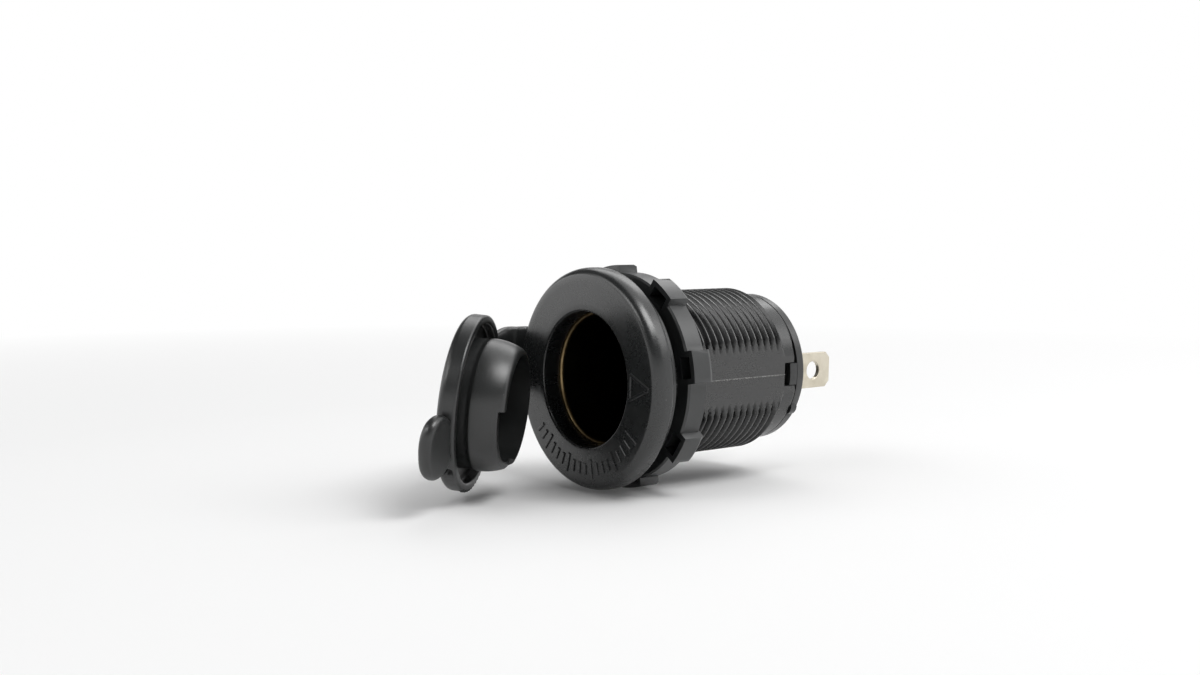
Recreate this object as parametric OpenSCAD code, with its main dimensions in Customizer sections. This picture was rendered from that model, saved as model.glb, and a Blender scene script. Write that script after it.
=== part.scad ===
// Panel-mounted 12 volt power socket with a strap-on rubber cap.
// The socket's axis lies along Y and its mouth faces -Y. Z is up.
// The origin is on the axis, in the plane that lies against the panel's front.

/* [Flange] */
// Outer diameter of the round flange
flange_d = 37; // [34:0.5:44]
// Thickness of the flange
flange_t = 4; // [3:0.1:6]
// Rounding of the flange's front edge
flange_round = 1.3; // [0.5:0.1:1.6]
// Diameter of the plastic mouth in front of the metal shell
mouth_d = 22.5; // [22:0.1:23]
// Rounding of the mouth's edge
mouth_round = 0.6; // [0.3:0.1:1]
// Depth of the metal shell's front edge behind the face
shell_setback = 3.4; // [2.5:0.1:5]

/* [Barrel] */
// Outside diameter of the barrel's thread
thread_d = 28.58; // [28:0.1:30]
// Distance from one thread crest to the next
thread_pitch = 1.5; // [1:0.25:1.75]
// Length of the plain tail behind the thread, with the end cap's rim
tail_len = 4.7; // [4.2:0.1:8]
// Length over which the thread runs out at its rear end
thread_runout = 1.5; // [1:0.1:4]
// Diameter of the plain tail behind the thread
tail_d = 26.2; // [25.8:0.1:26.8]
// Length from the panel's front to the rear end of the end cap
body_depth = 33.4; // [32.4:0.1:42]
// Distance across the two flats of the barrel
flats_w = 25.5; // [25:0.1:26.2]
// Turn of the barrel's flats about the axis
barrel_turn = 1.7; // [-180:0.1:180]

/* [Ring nut] */
// Wall of the nut's band
nut_wall = 3.15; // [2.6:0.05:3.3]
// How far the nut's lugs stand past the flange's edge
lug_out = 0.3; // [0:0.05:0.8]
// Length of the nut along the axis
nut_h = 4.05; // [3:0.05:8]
// Number of lugs
lug_count = 8; // [4:1:10]
// Width of a lug
lug_w = 5.3; // [4.4:0.1:6]
// Wall left round the cored pocket in a lug
lug_wall = 0.9; // [0.7:0.1:1.2]
// Gap between the nut and the cap's ring, which takes the panel
panel_gap = 2.15; // [1.6:0.05:5]
// Turn of the nut about the axis
nut_turn = 35.7; // [0:0.1:45]

/* [Metal shell] */
// Inside diameter of the metal shell
shell_bore = 21.3; // [20.9:0.1:21.5]
// Thickness of the shell's metal
shell_t = 0.8; // [0.5:0.1:0.9]
// Step inwards of the shell's wall beside the centre contact
shell_step = 0.35; // [0.2:0.05:0.5]
// Room from the shell's floor to the rear end, for the terminals' feet
rear_room = 7.75; // [7.7:0.05:8.4]

/* [Contacts] */
// Thickness of the insulating washers
insulator_t = 1; // [0.8:0.1:1.4]
// Diameter of the insulating washers
insulator_d = 11.2; // [10:0.1:12]
// Diameter of the centre contact's disc
contact_d = 9.2; // [7.6:0.1:9.8]
// Diameter of the contact rivet's shank
rivet_d = 3; // [2.4:0.1:3.4]
// Diameter of the ground rivet's shank
ground_rivet_d = 2; // [1.6:0.1:2.4]

/* [Terminals] */
// Width of a terminal blade
blade_w = 6.3; // [4.8:0.1:6.5]
// Thickness of the terminal metal
blade_t = 0.8; // [0.5:0.1:1]
// Length of a blade behind the end cap
blade_out = 8.8; // [8:0.1:12]
// Diameter of the hole in a blade
blade_hole_d = 3.2; // [1.6:0.1:3.2]
// Distance from the axis to the ground blade's outer side
ground_blade_x = 10.9; // [10.4:0.05:10.9]
// Distance from the axis to the positive blade's outer side
positive_blade_x = 5; // [4.6:0.1:6]

/* [End cap] */
// Thickness of the end cap's rim
end_rim_t = 1.8; // [1.2:0.1:2.2]
// Width of the end cap's keys
key_w = 3.8; // [3:0.1:5]
// Length of the keys in front of the rim
key_len = 1.7; // [1.2:0.1:2]
// Length of the notches that take the keys
notch_len = 2.8; // [2.2:0.1:2.8]

/* [Cap ring and strap] */
// Thickness of the cap's ring behind the flange
ring_t = 1.6; // [1.2:0.1:2.2]
// How far the cap's ring stays inside the flange's edge
ring_inset = 1.5; // [0.8:0.1:1.6]
// Width of the strap
strap_w = 10.4; // [7:0.1:12]
// Thickness of the strap
strap_t = 1.6; // [1.2:0.1:2]
// Gap between the flange's edge and the strap
strap_gap = 2.07; // [1.5:0.01:4]
// Distance from the face forward to the strap's hinge line
hinge_ahead = 2.45; // [1.8:0.05:3.2]
// Turn of the strap about the axis, up from the side
strap_turn = 2.59; // [-180:0.01:180]
// Lean of the hinge line, by which the cap sags as it opens
hinge_lean = 12; // [0:0.05:14]

/* [Dust cap] */
// Diameter of the cap's lid
lid_d = 28.6; // [27:0.1:32]
// Thickness of the lid with its skirt
lid_t = 3.2; // [2.6:0.1:4]
// Width of the skirt's rim
skirt_w = 1.4; // [1:0.1:1.8]
// Depth of the groove between skirt and plug
groove_depth = 1.2; // [0.8:0.1:1.4]
// Room between the hollow plug and the mouth
plug_play = 0.6; // [0.5:0.05:0.8]
// Length of the plug
plug_len = 6.45; // [5:0.05:6.8]
// Wall of the hollow plug
plug_wall = 1.7; // [1.2:0.1:2.2]
// Length of the pull tab
tab_len = 6.1; // [5:0.1:12]
// Width of the pull tab
tab_w = 10; // [7:0.1:12]
// Turn of the pull tab from the point opposite the strap
tab_turn = 5; // [-30:1:30]
// Angle by which the cap stands open
cap_open = 49.11; // [0:0.01:150]

/* [Hidden] */
$fn = 96;
// Clearance between pieces that slide into each other
slip = 0.05;
// Clearance between soft pieces that move past each other
soft_gap = 0.4;
// A cut goes this far past the surface it opens
past = 0.5;
// Planes along Y, from the face to the rear
face_y = -(ring_t + flange_t);
flange_back_y = -ring_t;
shell_front_y = face_y + shell_setback + slip;
floor_front_y = body_depth - rear_room;
floor_back_y = floor_front_y + shell_t;
rim_front_y = body_depth - end_rim_t;
blade_end_y = body_depth + blade_out;
thread_end = body_depth - tail_len;
// The stack on the contact rivet, from the front
contact_t = blade_t;
contact_front_y = floor_front_y - insulator_t - contact_t;
rivet_head_t = rivet_d / 2;
step_y = contact_front_y - rivet_head_t - shell_step;
positive_foot_y = floor_back_y + insulator_t;
washer_y = positive_foot_y + blade_t;
washer_t = blade_t * 0.75;
rivet_tail_y = washer_y + washer_t;
// Radii
flange_r = flange_d / 2;
mouth_r = mouth_d / 2;
thread_r = thread_d / 2;
thread_depth = thread_pitch * 0.56;
tail_r = tail_d / 2;
shell_r = shell_bore / 2;
shell_outer_r = shell_r + shell_t;
pocket_r = shell_outer_r + slip;
nut_bore_r = thread_r + slip;
nut_r = nut_bore_r + nut_wall;
lug_r = flange_r + lug_out;
ring_r = flange_r - ring_inset;
hinge_off = flange_r + strap_gap + strap_t / 2;
spigot_r = pocket_r - 0.1;
spigot_wall = insulator_t * 2;
rivet_r = rivet_d / 2;
ground_rivet_r = ground_rivet_d / 2;
sleeve_r = rivet_d * 0.97;
ground_rivet_x = ground_blade_x - blade_t - ground_rivet_d * 1.1;
lid_r = lid_d / 2;
plug_r = mouth_r - plug_play;
nose_r = shell_r - slip * 3;
bead_r = strap_t / 2;
// The closed cap's underside stands just off the face
lid_under_y = face_y - 0.15;
hinge_y = face_y - hinge_ahead;

// Points of a quarter or other arc about [cx, cy], from angle a to angle b
function arc(cx, cy, r, a, b, steps = 5) =
  [for (i = [0:steps]) let (t = a + (b - a) * i / steps) [cx + r * cos(t), cy + r * sin(t)]];

// A profile of [radius, y] points turned about the Y axis
module turned(points, angle = 360) {
  rotate([-90, 0, 0]) rotate_extrude(angle = angle) polygon(points);
}

// A disc or drilled disc about the Y axis, from y0 to y1
module washer(r, hole_r, y0, y1) {
  turned([[hole_r, y0], [r, y0], [r, y1], [hole_r, y1]]);
}

// A round bar along Y at [x, z]
module bar(r, y0, y1, x = 0, z = 0) {
  translate([x, y0, z]) rotate([-90, 0, 0]) cylinder(r = r, h = y1 - y0);
}

// Turns a feature built on the +X side about the axis, upwards
module turn_up(a) {
  rotate([0, -a, 0]) children();
}

// A block between two corners
module block(low, high) {
  translate(low) cube(high - low);
}

// The closed cap turned about the leaning hinge line
module hinged(a) {
  rotate([0, strap_turn, 0])
    translate([-hinge_off, hinge_y, 0])
      rotate([hinge_lean, 0, 0]) rotate([0, 0, -a]) rotate([-hinge_lean, 0, 0])
        translate([hinge_off, -hinge_y, 0])
          children();
}

// A round bar along the leaning hinge line
module hinge_bar(r, length) {
  translate([-hinge_off, hinge_y, 0]) rotate([hinge_lean, 0, 0])
    cylinder(r = r, h = length, center = true, $fn = 32);
}

// The grooves are rings at the thread's pitch, and stop where the thread runs out
module housing_profile() {
  back_round = 0.35;
  runout_y = thread_end - thread_runout;
  groove_half = thread_pitch * 0.4;
  groove_count = floor((runout_y - thread_pitch / 2) / thread_pitch);
  turned(concat(
    arc(mouth_r + mouth_round, face_y + mouth_round, mouth_round, 180, 270),
    arc(flange_r - flange_round, face_y + flange_round, flange_round, -90, 0),
    arc(flange_r - back_round, flange_back_y - back_round, back_round, 0, 90, 3),
    [[thread_r, flange_back_y]],
    [for (i = [groove_count - 1:-1:0], side = [-1, 0, 1])
      [thread_r - (side == 0 ? thread_depth : 0),
       runout_y - (i + 0.5) * thread_pitch + side * groove_half]],
    [[thread_r, runout_y], [tail_r, thread_end],
     [tail_r, rim_front_y], [pocket_r, rim_front_y],
     [pocket_r, face_y + shell_setback], [mouth_r, face_y + shell_setback]]
  ));
}

// Flange and barrel are one moulding, with a flat and a key notch on each side
module housing() {
  color("#26272a") turn_up(-barrel_turn) difference() {
    housing_profile();
    for (side = [0, 180]) rotate([0, side, 0]) {
      block([flats_w / 2, 0, -thread_r], [thread_r + past, body_depth, thread_r]);
      block([pocket_r - past, rim_front_y - notch_len, -key_w / 2 - slip * 2],
            [tail_r + past, rim_front_y + past, key_w / 2 + slip * 2]);
    }
  }
}

// The drawn brass shell is the negative contact, with a pierced floor
module shell() {
  bend = shell_t * 1.5;
  lead = shell_t * 0.44;
  rear_r = shell_r - shell_step;
  hole_r = sleeve_r + slip;
  color("#b0894a") turn_up(-barrel_turn) difference() {
    turned(concat(
      [[shell_r + lead * 0.7, shell_front_y], [shell_outer_r, shell_front_y],
       [shell_outer_r, step_y], [shell_outer_r - shell_step, step_y + shell_step]],
      arc(rear_r + shell_t - bend, floor_back_y - bend, bend, 0, 90, 4),
      [[hole_r, floor_back_y], [hole_r, floor_front_y]],
      arc(rear_r - bend + shell_t, floor_front_y - bend + shell_t, bend - shell_t, 90, 0, 3),
      [[rear_r, step_y + shell_step], [shell_r, step_y], [shell_r, shell_front_y + lead]]
    ));
    bar(ground_rivet_r + slip, floor_front_y - past, floor_back_y + past, ground_rivet_x);
  }
}

// The front insulator's sleeve goes through the shell's floor
module front_insulator() {
  color("#6b4a32") turned([
    [rivet_r + slip, floor_front_y - insulator_t], [insulator_d / 2, floor_front_y - insulator_t],
    [insulator_d / 2, floor_front_y], [sleeve_r, floor_front_y], [sleeve_r, floor_back_y],
    [rivet_r + slip, floor_back_y]
  ]);
}

module rear_insulator() {
  color("#6b4a32") washer(insulator_d / 2, rivet_r + slip, floor_back_y, positive_foot_y);
}

// The contact disc is dished towards the plug's tip
module centre_contact() {
  dish = contact_t * 0.6;
  rim_r = contact_d / 2;
  seat_r = rivet_d * 1.17;
  back_y = contact_front_y + contact_t;
  color("#c9b27c") turned([
    [rivet_r + slip, contact_front_y], [seat_r, contact_front_y],
    [seat_r + dish, contact_front_y - dish], [rim_r - 0.4, contact_front_y - dish],
    [rim_r, contact_front_y - dish + 0.4], [rim_r, back_y], [rivet_r + slip, back_y]
  ]);
}

// The contact rivet has a domed head in front and a clinched tail behind
module contact_rivet() {
  head_r = rivet_d * 1.07;
  head_t = rivet_head_t;
  tail_r2 = rivet_d * 0.8;
  tail_t = rivet_d * 0.27;
  sphere_r = (head_r * head_r + head_t * head_t) / (2 * head_t);
  half = asin(head_r / sphere_r);
  color("#cfc6ae") turned(concat(
    [for (i = [0:6]) let (t = half * i / 6)
      [sphere_r * sin(t), contact_front_y - head_t + sphere_r - sphere_r * cos(t)]],
    [[rivet_r, contact_front_y], [rivet_r, rivet_tail_y], [tail_r2, rivet_tail_y],
     [tail_r2 - 0.3, rivet_tail_y + tail_t], [0, rivet_tail_y + tail_t]]
  ));
}

// A split spring washer keeps the contact rivet tight
module lock_washer() {
  split = 0.7;
  washer_r = rivet_d * 1.03;
  color("#9a9c9e") difference() {
    washer(washer_r, rivet_r + slip, washer_y, rivet_tail_y);
    block([rivet_r, washer_y - past, -split / 2], [washer_r + past, rivet_tail_y + past, split / 2]);
  }
}

// A stamped terminal: a foot from x0 to x1, then a bend and a blade whose outer side is at x1
module terminal(x0, x1, foot_y, hole_x, hole_r) {
  bend = blade_t * 1.6;
  tip = blade_w * 0.16;
  hole_back = blade_hole_d * 1.33;
  intersection() {
    difference() {
      translate([0, 0, -blade_w / 2]) linear_extrude(blade_w) polygon(concat(
        [[x0, foot_y], [x0, foot_y + blade_t]],
        arc(x1 - bend, foot_y + bend, bend - blade_t, -90, 0, 4),
        [[x1 - blade_t, blade_end_y], [x1, blade_end_y]],
        arc(x1 - bend, foot_y + bend, bend, 0, -90, 4)
      ));
      bar(hole_r + slip, foot_y - past, foot_y + blade_t + past, hole_x);
      translate([x1 - blade_t - past, blade_end_y - hole_back, 0])
        rotate([0, 90, 0]) cylinder(d = blade_hole_d, h = blade_t + past * 2);
    }
    translate([x0 - past, 0, 0]) rotate([90, 0, 90])
      linear_extrude(x1 - x0 + past * 2) polygon([
        [foot_y - past, -blade_w / 2], [blade_end_y - tip, -blade_w / 2],
        [blade_end_y, -blade_w / 2 + tip], [blade_end_y, blade_w / 2 - tip],
        [blade_end_y - tip, blade_w / 2], [foot_y - past, blade_w / 2]
      ]);
  }
}

module positive_terminal() {
  color("#d3c7a2") turn_up(-barrel_turn) rotate([0, 180, 0])
    terminal(-rivet_d * 1.17, positive_blade_x, positive_foot_y, 0, rivet_r);
}

module ground_terminal() {
  color("#d3c7a2") turn_up(-barrel_turn)
    terminal(ground_rivet_x - ground_rivet_d * 0.95, ground_blade_x, floor_back_y,
             ground_rivet_x, ground_rivet_r);
}

// The ground rivet holds the ground terminal on the shell's floor
module ground_rivet() {
  head_t = ground_rivet_d * 0.3;
  head_r = ground_rivet_r * 1.6;
  clinch_r = ground_rivet_r * 1.5;
  clinch_y = floor_back_y + blade_t;
  color("#cfc6ae") turn_up(-barrel_turn) {
    translate([ground_rivet_x, 0, 0]) turned([
      [0, floor_front_y - head_t], [head_r - head_t / 2, floor_front_y - head_t],
      [head_r, floor_front_y - head_t / 2], [head_r, floor_front_y],
      [ground_rivet_r, floor_front_y], [ground_rivet_r, clinch_y],
      [clinch_r, clinch_y], [clinch_r * 0.87, clinch_y + head_t * 0.85],
      [0, clinch_y + head_t * 0.85]
    ]);
  }
}

// The end cap holds the shell in by its spigot, and its keys sit in the tail's notches
module end_cap() {
  rear_round = 0.4;
  slot = 0.15;
  nib_turn = -30;
  nib_r = 1.5;
  color("#26272a") turn_up(-barrel_turn) difference() {
    union() {
      turned(concat(
        [[0, rim_front_y + slip], [spigot_r - spigot_wall, rim_front_y + slip],
         [spigot_r - spigot_wall, floor_back_y + slip], [spigot_r, floor_back_y + slip],
         [spigot_r, rim_front_y + slip], [tail_r, rim_front_y + slip]],
        arc(tail_r - rear_round, body_depth - rear_round, rear_round, 0, 90, 3),
        [[0, body_depth]]
      ));
      for (side = [0, 180]) rotate([0, side, 0]) intersection() {
        block([pocket_r + slip, rim_front_y - key_len, -key_w / 2],
              [tail_r, body_depth - rear_round, key_w / 2]);
        bar(tail_r - slip, rim_front_y - key_len - past, body_depth);
      }
      turn_up(nib_turn) bar(nib_r, rim_front_y + slip, body_depth - rear_round, tail_r - nib_r * 0.75);
    }
    for (side = [1, -1]) {
      x = side > 0 ? ground_blade_x : -positive_blade_x + blade_t;
      block([x - blade_t - slot, floor_back_y, -blade_w / 2 - slot],
            [x + slot, body_depth + past, blade_w / 2 + slot]);
    }
    // Room for the ground terminal's foot under the spigot
    block([ground_rivet_x - ground_rivet_d * 1.1, floor_back_y, -blade_w / 2 - slot],
          [ground_blade_x + slot, floor_back_y + blade_t * 2.1, blade_w / 2 + slot]);
  }
}

// The ring nut's lugs are cored from the front, so the walls stay thin
module ring_nut() {
  front = panel_gap;
  back = panel_gap + nut_h;
  edge = 0.3;
  core_floor = 1.1;
  core_in_r = nut_bore_r + nut_wall * 0.46;
  color("#26272a") turn_up(90 - nut_turn) difference() {
    union() {
      turned([
        [nut_bore_r + edge, front], [nut_r - edge, front], [nut_r, front + edge],
        [nut_r, back - edge], [nut_r - edge, back], [nut_bore_r + edge * 2, back],
        [nut_bore_r, back - edge * 2], [nut_bore_r, front + edge]
      ]);
      intersection() {
        for (i = [0:lug_count - 1]) turn_up(i * 360 / lug_count)
          block([nut_r - 1, front, -lug_w / 2], [lug_r + 1, back, lug_w / 2]);
        turned([
          [nut_r - 1, front], [lug_r, front], [lug_r, back - edge * 2], [lug_r - edge, back],
          [nut_r - 1, back]
        ]);
      }
    }
    for (i = [0:lug_count - 1]) turn_up(i * 360 / lug_count)
      block([core_in_r, front - past, -lug_w / 2 + lug_wall],
            [lug_r - lug_wall, back - core_floor, lug_w / 2 - lug_wall]);
  }
}

// The strap's ring sits behind the flange, and its riser reaches forward to the hinge line
module cap_ring() {
  riser_in_x = hinge_off - strap_t / 2;
  riser_out_x = hinge_off + strap_t / 2;
  corner = strap_t;
  root_x = (thread_r + ring_r) / 2;
  color("#2b2c2e") rotate([0, strap_turn, 0]) difference() {
    union() {
      washer(ring_r, thread_r + slip * 2, -ring_t, 0);
      translate([0, 0, -strap_w / 2]) linear_extrude(strap_w) polygon(concat(
        [[-root_x, 0]],
        arc(-riser_out_x + corner, -corner, corner, 90, 180, 5),
        [[-riser_out_x, hinge_y + bead_r], [-riser_in_x, hinge_y + bead_r],
         [-riser_in_x, -ring_t], [-root_x, -ring_t]]
      ));
    }
    hinge_bar(bead_r + soft_gap, strap_w * 2);
    // The riser stops behind the hinge line all along its lean
    translate([-hinge_off, hinge_y, 0]) rotate([hinge_lean, 0, 0])
      block([-strap_w, -strap_w, -strap_w], [strap_w, 0, strap_w]);
  }
}

// The lid, its hollow plug, pull tab and strap end are one rubber moulding
module closed_dust_cap() {
  edge = lid_t * 0.34;
  lid_front_y = lid_under_y - lid_t;
  tip_y = lid_under_y + plug_len;
  tip_round = plug_len * 0.19;
  groove_r = lid_r - skirt_w;
  collar = 0.12;
  hollow_r = plug_r - plug_wall;
  hollow_y = lid_under_y - groove_depth;
  root_y = lid_under_y + plug_len * 0.22;
  taper_y = lid_under_y + plug_len * 0.47;
  nose_y = shell_front_y + slip * 2;
  notch_depth = plug_len * 0.155;
  difference() {
    union() {
      turned(concat(
        [[0, lid_front_y - 0.25], [lid_r * 0.55, lid_front_y - 0.15]],
        arc(lid_r - edge, lid_front_y + edge, edge, -90, 0),
        [[lid_r, lid_under_y], [groove_r, lid_under_y], [groove_r, hollow_y],
         [plug_r + collar, hollow_y], [plug_r + collar, root_y - collar * 3], [plug_r, root_y],
         [plug_r - 0.05, taper_y], [nose_r, nose_y]],
        arc(nose_r - tip_round * 1.6, tip_y - tip_round, tip_round, 20, 70, 4),
        [[hollow_r - 0.2, tip_y], [hollow_r, hollow_y], [0, hollow_y]]
      ));
      strap_end();
      pull_tab();
    }
    // Relief notch in the plug's rim
    translate([0, tip_y - notch_depth, 0]) rotate([-90, 0, 0]) linear_extrude(notch_depth + past)
      polygon([[0, 0], [plug_r * 2, -plug_r * 0.5], [0, plug_r * 2]]);
  }
}

// The strap's end carries a bead along the hinge line
module strap_end() {
  half_t = strap_t * 0.38;
  hinge_bar(bead_r, strap_w);
  translate([-hinge_off, hinge_y, 0]) rotate([hinge_lean, 0, 0])
    block([0, -half_t, -strap_w / 2], [hinge_off - lid_r + skirt_w, half_t, strap_w / 2]);
}

// The tab bends forward from the lid's edge for a finger's grip
module pull_tab() {
  tab_t = lid_t * 0.7;
  bend = 14;
  end_r = tab_w * 0.38;
  root = skirt_w * 1.7;
  turn_up(-strap_turn - tab_turn) translate([lid_r - root, lid_under_y - 0.2 - tab_t / 2, 0])
    rotate([0, 0, -bend]) rotate([90, 0, 0]) translate([0, 0, -tab_t / 2])
      linear_extrude(tab_t) hull() {
        translate([0, -tab_w / 2]) square([0.1, tab_w]);
        for (side = [-1, 1])
          translate([tab_len + root - end_r, side * (tab_w / 2 - end_r)]) circle(r = end_r, $fn = 32);
      }
}

module dust_cap() {
  color("#303133") hinged(cap_open) closed_dust_cap();
}

housing();
shell();
front_insulator();
rear_insulator();
centre_contact();
contact_rivet();
lock_washer();
positive_terminal();
ground_terminal();
ground_rivet();
end_cap();
ring_nut();
cap_ring();
dust_cap();
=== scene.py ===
import math
import bmesh
import bpy
import numpy as np
from mathutils import Matrix, Vector


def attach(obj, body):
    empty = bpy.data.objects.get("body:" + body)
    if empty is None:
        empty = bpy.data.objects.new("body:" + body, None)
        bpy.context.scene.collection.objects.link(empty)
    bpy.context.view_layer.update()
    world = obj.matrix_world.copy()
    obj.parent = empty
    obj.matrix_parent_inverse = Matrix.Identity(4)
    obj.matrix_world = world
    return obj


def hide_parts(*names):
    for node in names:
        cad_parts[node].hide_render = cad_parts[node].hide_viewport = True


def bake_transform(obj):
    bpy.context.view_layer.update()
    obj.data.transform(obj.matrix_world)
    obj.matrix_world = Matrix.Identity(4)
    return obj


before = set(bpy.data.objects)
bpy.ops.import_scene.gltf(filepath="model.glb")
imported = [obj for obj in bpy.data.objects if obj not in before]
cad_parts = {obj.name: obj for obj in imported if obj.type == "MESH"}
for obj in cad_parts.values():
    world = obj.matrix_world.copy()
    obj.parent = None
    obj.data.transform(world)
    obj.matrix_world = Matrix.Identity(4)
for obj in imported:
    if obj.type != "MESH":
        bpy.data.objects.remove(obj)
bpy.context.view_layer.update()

# Camera, table top and studio
# The socket lies on a white table under broad soft lamps. The camera stands where the
# photograph was taken from, a little above the axis and to the right of the mouth.
mm = 0.001
scene = bpy.context.scene
scene.view_settings.view_transform = "Standard"
camera_data = bpy.data.cameras.new("camera")
camera_data.lens = 40.86
camera_data.sensor_width = 36
camera_data.clip_start = 0.005
camera_data.dof.use_dof = False
camera = bpy.data.objects.new("camera", camera_data)
scene.collection.objects.link(camera)
camera_at = Vector((176.842, -142.788, 24.235)) * mm
camera_forward = Vector((-0.78011, 0.62089, -0.07693))


def looking(at, forward):
    """The matrix of a camera or lamp at a point, which looks along a direction."""
    return Matrix.Translation(at) @ forward.to_track_quat("-Z", "Y").to_matrix().to_4x4()


camera.matrix_world = looking(camera_at, camera_forward)
scene.camera = camera


class Sock:
    """A shader output. Arithmetic on it adds Math nodes, and node() adds any other node."""

    def __init__(self, tree, out):
        self.tree = tree
        self.out = out

    def math(self, operation, *others):
        values = {i + 1: other for i, other in enumerate(others)}
        return self.node("ShaderNodeMath", {"operation": operation}, {0: self, **values})

    def node(self, kind, settings, inputs, output=0):
        made = self.tree.nodes.new(kind)
        for name, value in settings.items():
            if name == "stops":
                ramp = made.color_ramp
                while len(ramp.elements) < len(value):
                    ramp.elements.new(0.5)
                for element, (position, grey) in zip(ramp.elements, value):
                    element.position = position
                    element.color = (grey, grey, grey, 1) if isinstance(grey, (int, float)) else grey
            else:
                setattr(made, name, value)
        for name, value in inputs.items():
            if isinstance(value, Sock):
                self.tree.links.new(value.out, made.inputs[name])
            else:
                made.inputs[name].default_value = value
        return Sock(self.tree, made.outputs[output])

    def __add__(self, other):
        return self.math("ADD", other)

    def __radd__(self, other):
        return self.math("ADD", other)

    def __mul__(self, other):
        return self.math("MULTIPLY", other)

    def __rmul__(self, other):
        return self.math("MULTIPLY", other)

    def __sub__(self, other):
        return self.math("SUBTRACT", other)

    def __rsub__(self, other):
        return (self * -1) + other

    def ramp(self, *stops):
        """The value passed through a ramp of (position, grey) stops."""
        return self.node("ShaderNodeValToRGB", {"stops": stops}, {"Fac": self})

    def between(self, low, high, start=0.0, end=1.0, interpolation="LINEAR"):
        """The value's place between low and high, carried over to start and end."""
        return self.node("ShaderNodeMapRange", {"interpolation_type": interpolation},
                         {"Value": self, "From Min": low, "From Max": high, "To Min": start, "To Max": end})

    def mix(self, first, second):
        """A colour that goes from first to second as this value goes from 0 to 1."""
        first, second = (side if isinstance(side, Sock) else (*side, 1) for side in (first, second))
        return self.node("ShaderNodeMix", {"data_type": "RGBA"}, {"Factor": self, 6: first, 7: second}, 2)

    def tint(self, colour):
        """The colour multiplied by this value."""
        return self.node("ShaderNodeMix", {"data_type": "RGBA", "blend_type": "MULTIPLY"},
                         {"Factor": 1.0, 6: (*colour, 1), 7: self}, 2)

    def cells(self, scale):
        """The distance from this vector to the nearest of the points scattered over space."""
        inputs = {"Vector": self, "Scale": scale, "Randomness": 1.0}
        return self.node("ShaderNodeTexVoronoi", {"feature": "F1"}, inputs)

    def part(self, index):
        """One of the vector's three parts."""
        return self.node("ShaderNodeSeparateXYZ", {}, {"Vector": self}, index)

    def stretched(self, scale):
        """The vector with each part multiplied by its scale."""
        return self.node("ShaderNodeMapping", {}, {"Vector": self, "Scale": scale})

    def bump(self, strength, distance):
        """A normal from this height, with the full height of 1 given as a distance in metres."""
        return self.node("ShaderNodeBump", {}, {"Strength": strength, "Distance": distance, "Height": self})

    def noise(self, scale, detail=3, roughness=0.55):
        """Fractal noise at this vector, from 0 to 1."""
        return self.node("ShaderNodeTexNoise", {}, {"Vector": self, "Scale": scale, "Detail": detail,
                                                    "Roughness": roughness})


def new_material(name):
    """An empty node material, its Principled shader, and the piece's own coordinates in metres."""
    material = bpy.data.materials.new(name)
    material.use_nodes = True
    tree = material.node_tree
    shader = tree.nodes["Principled BSDF"]
    coords = tree.nodes.new("ShaderNodeTexCoord")
    return material, tree, shader, Sock(tree, coords.outputs["Object"])


def reopened(material):
    """The tree, shader, coordinates and base colour of a finished material, to lay a mask over it."""
    tree = material.node_tree
    shader = tree.nodes["Principled BSDF"]
    place = Sock(tree, tree.nodes["Texture Coordinate"].outputs["Object"])
    return tree, shader, place, Sock(tree, shader.inputs["Base Color"].links[0].from_socket)


def plug_in(tree, shader, **links):
    """Feeds sockets of the shader, named with underscores for spaces."""
    for name, value in links.items():
        socket = shader.inputs[name.replace("_", " ")]
        if isinstance(value, Sock):
            tree.links.new(value.out, socket)
        else:
            socket.default_value = value


# The table is a round sheet, flat to its bend, whose height then follows a quarter of an ellipse
floor_z, floor_columns = -18.85 * mm, 96
bend_start, bend_reach, bend_lift = 1.1, 0.7, 0.6
flat_rings = [0.05, 0.15, 0.3, 0.5, 0.8]
floor_mesh = bpy.data.meshes.new("table_top")
bend = np.radians(np.linspace(0, 90, 19))
reach = np.concatenate([flat_rings, bend_start + bend_reach * np.sin(bend)])
lift = np.concatenate([np.zeros(len(flat_rings)), bend_lift * (1 - np.cos(bend))])
turn = np.linspace(0, 2 * np.pi, floor_columns, endpoint=False)
ring_points = np.stack([reach[:, None] * np.cos(turn), reach[:, None] * np.sin(turn),
                        floor_z + lift[:, None] + 0 * turn], -1).reshape(-1, 3)
column = np.arange(floor_columns)
ring = np.arange(len(reach) - 1)[:, None] * floor_columns
beside = (column + 1) % floor_columns
sheet_faces = np.stack([ring + column, ring + floor_columns + column, ring + floor_columns + beside,
                        ring + beside], -1).reshape(-1, 4)
floor_mesh.from_pydata(ring_points.tolist(), [], sheet_faces.tolist() + [column.tolist()])
floor_mesh.polygons.foreach_set("use_smooth", [True] * len(floor_mesh.polygons))
floor = bpy.data.objects.new("table_top", floor_mesh)
scene.collection.objects.link(floor)
# Near the socket the table is white and takes its shadow. Farther out its colour goes to black, so that
# it sends no light back, and it is white to the camera and in reflections alone.
table_glow, table_white = 0.06, 0.80
material, tree, shader, place = new_material("white_table")
rays = tree.nodes.new("ShaderNodeLightPath")
seen = Sock(tree, rays.outputs["Is Camera Ray"]).math("MAXIMUM", Sock(tree, rays.outputs["Is Glossy Ray"]))
seen = seen.math("MAXIMUM", Sock(tree, rays.outputs["Is Transmission Ray"]))
away = place.node("ShaderNodeVectorMath", {"operation": "LENGTH"}, {0: place}, 1)
away = away.ramp((0.13, 0.0), (0.42, 1.0))
plug_in(tree, shader, Base_Color=away.mix((table_white,) * 3, (0, 0, 0)), Roughness=0.8,
        Emission_Color=seen * (away * (1 - table_glow) + table_glow), Emission_Strength=1.0)
shader.inputs["Specular IOR Level"].default_value = 0.0
floor_mesh.materials.append(material)

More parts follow.
